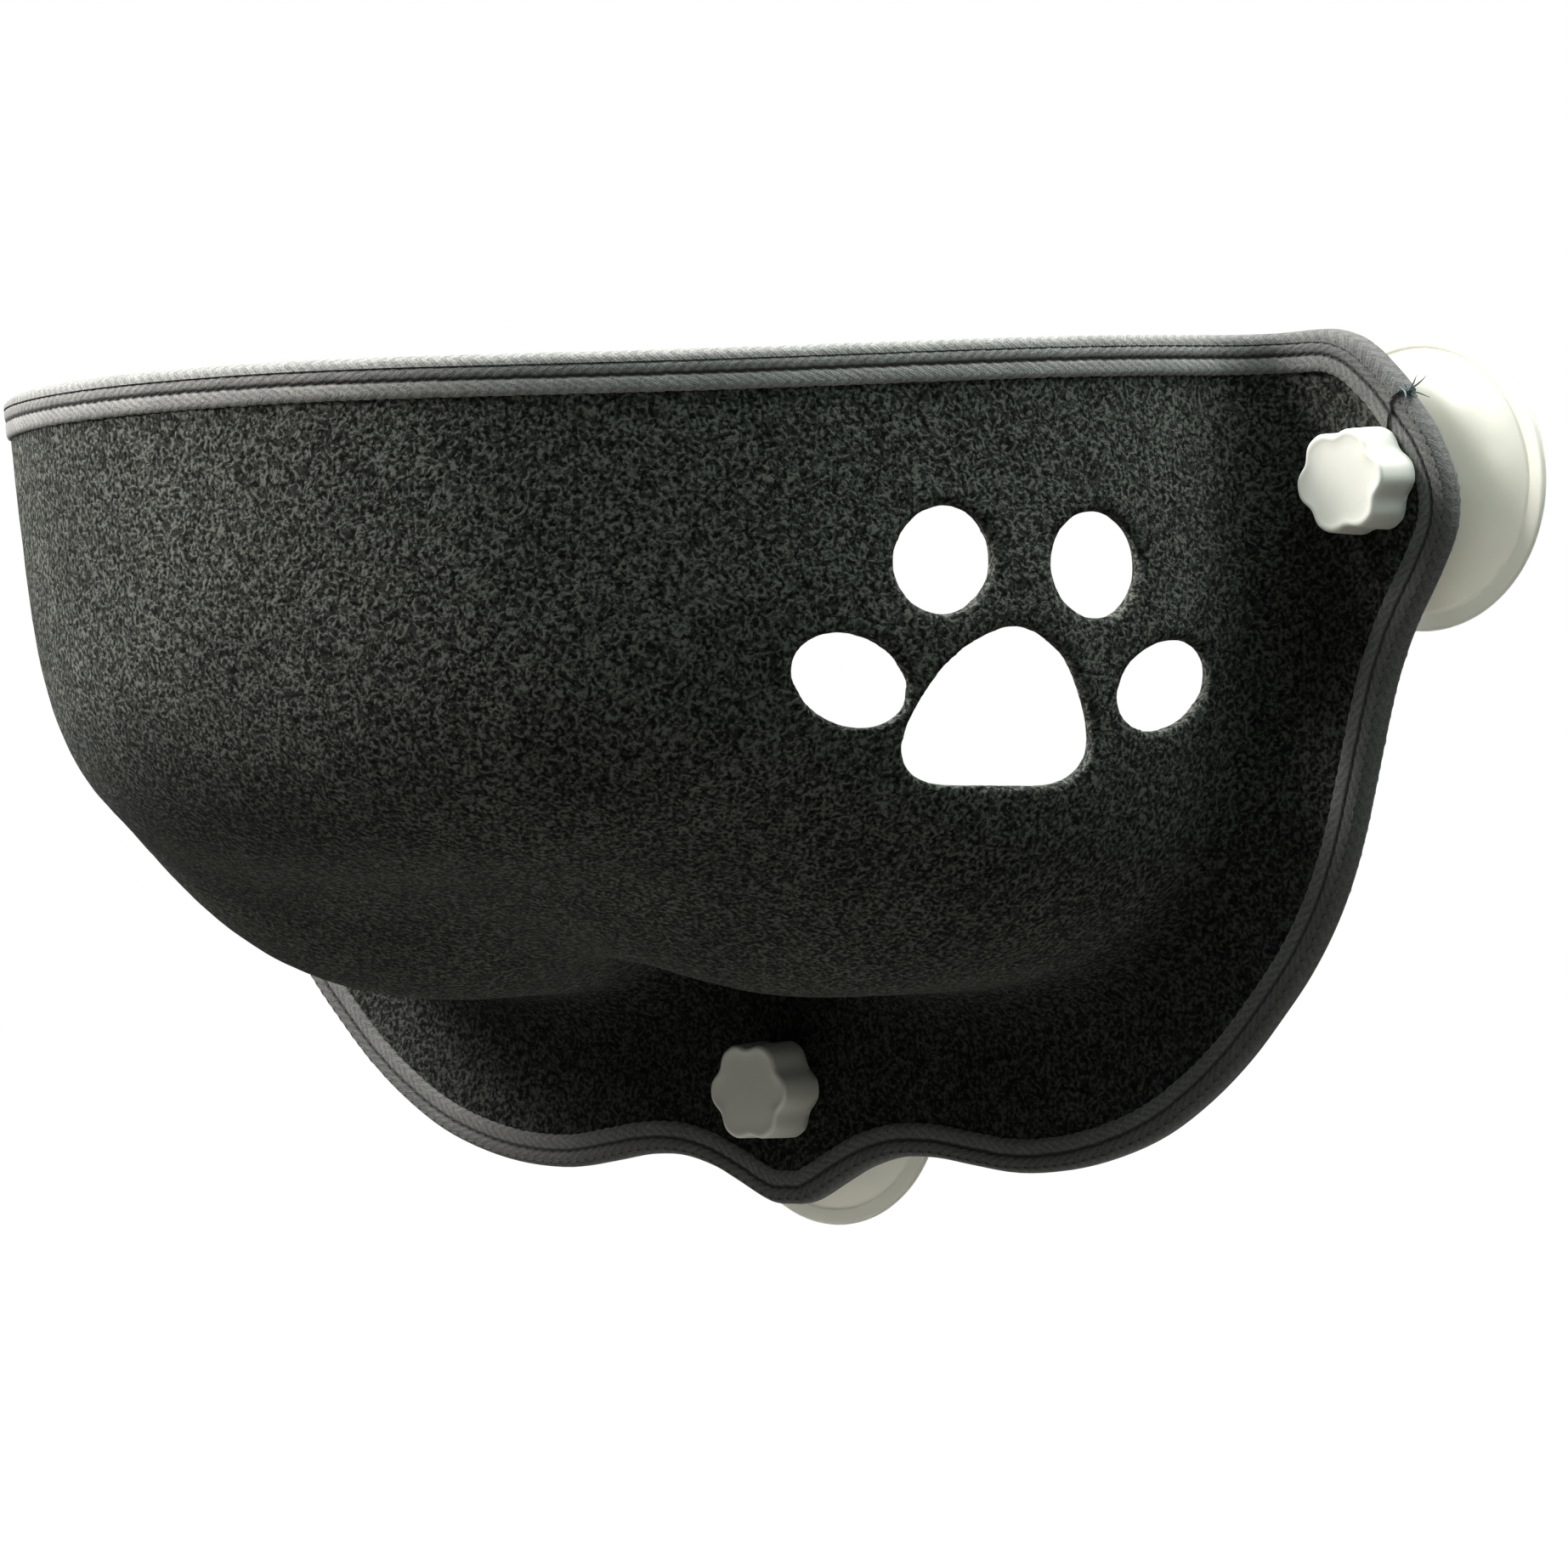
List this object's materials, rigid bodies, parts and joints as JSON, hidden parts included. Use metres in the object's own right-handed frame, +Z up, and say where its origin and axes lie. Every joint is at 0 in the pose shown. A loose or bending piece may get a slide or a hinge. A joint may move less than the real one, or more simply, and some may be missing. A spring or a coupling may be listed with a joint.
{
  "type": "window mounted cat perch",
  "caption": "Moulded felt half bowl for a cat that hangs on a window pane by suction cups, with a taped edge, a paw cut-out and clamping knobs.",
  "frame": {"origin": "middle of the lower suction cup on the glass plane", "axes": "+X to the right as seen from the room, +Y into the window, +Z up; the glass is the plane Y = 0"},
  "size_m": [0.603, 0.2943, 0.2868],
  "materials": {
    "felt": "moulded needle felt, charcoal with grey fibres",
    "tape": "woven herringbone binding tape, grey-brown",
    "cup_vinyl": "milky soft vinyl, glossy",
    "knob_plastic": "moulded off-white plastic, satin",
    "screw_steel": "zinc-plated steel",
    "washer_plastic": "off-white plastic, matt"
  },
  "bodies": {
    "shell": {"pod_shell": "felt", "edge_binding": "tape"},
    "right_cup": {"right_suction_cup": "cup_vinyl", "right_screw": "screw_steel"},
    "right_washer": {"right_washer": "washer_plastic"},
    "right_knob": {"right_knob": "knob_plastic"},
    "left_cup": {"left_suction_cup": "cup_vinyl", "left_screw": "screw_steel"},
    "left_washer": {"left_washer": "washer_plastic"},
    "left_knob": {"left_knob": "knob_plastic"},
    "lower_cup": {"lower_suction_cup": "cup_vinyl", "lower_screw": "screw_steel"},
    "lower_washer": {"lower_washer": "washer_plastic"},
    "lower_knob": {"lower_knob": "knob_plastic"}
  },
  "joints": [
    {"name": "right_cup_swivel", "type": "hinge", "parent": "shell", "child": "right_cup", "pos_m": [0.254, -0.022, 0.191], "axis": [0, -1, 0], "continuous": true},
    {"name": "right_washer_travel", "type": "slide", "parent": "right_cup", "child": "right_washer", "axis": [0, -1, 0], "range_m": [0, 0.01]},
    {"name": "right_knob_turn", "type": "hinge", "parent": "right_washer", "child": "right_knob", "pos_m": [0.254, -0.036, 0.191], "axis": [0, -1, 0], "range_deg": [0, 1800]},
    {"name": "left_cup_swivel", "type": "hinge", "parent": "shell", "child": "left_cup", "pos_m": [-0.254, -0.022, 0.191], "axis": [0, -1, 0], "continuous": true},
    {"name": "left_washer_travel", "type": "slide", "parent": "left_cup", "child": "left_washer", "axis": [0, -1, 0], "range_m": [0, 0.01]},
    {"name": "left_knob_turn", "type": "hinge", "parent": "left_washer", "child": "left_knob", "pos_m": [-0.254, -0.036, 0.191], "axis": [0, -1, 0], "range_deg": [0, 1800]},
    {"name": "lower_cup_swivel", "type": "hinge", "parent": "shell", "child": "lower_cup", "pos_m": [0, -0.022, 0], "axis": [0, -1, 0], "continuous": true},
    {"name": "lower_washer_travel", "type": "slide", "parent": "lower_cup", "child": "lower_washer", "axis": [0, -1, 0], "range_m": [0, 0.01]},
    {"name": "lower_knob_turn", "type": "hinge", "parent": "lower_washer", "child": "lower_knob", "pos_m": [0, -0.036, 0], "axis": [0, -1, 0], "range_deg": [0, 1800]}
  ],
  "couplings": [
    {"joint": "right_washer_travel", "follows": "right_knob_turn", "m_per_rad": 0.0003183},
    {"joint": "left_washer_travel", "follows": "left_knob_turn", "m_per_rad": 0.0003183},
    {"joint": "lower_washer_travel", "follows": "lower_knob_turn", "m_per_rad": 0.0003183}
  ]
}
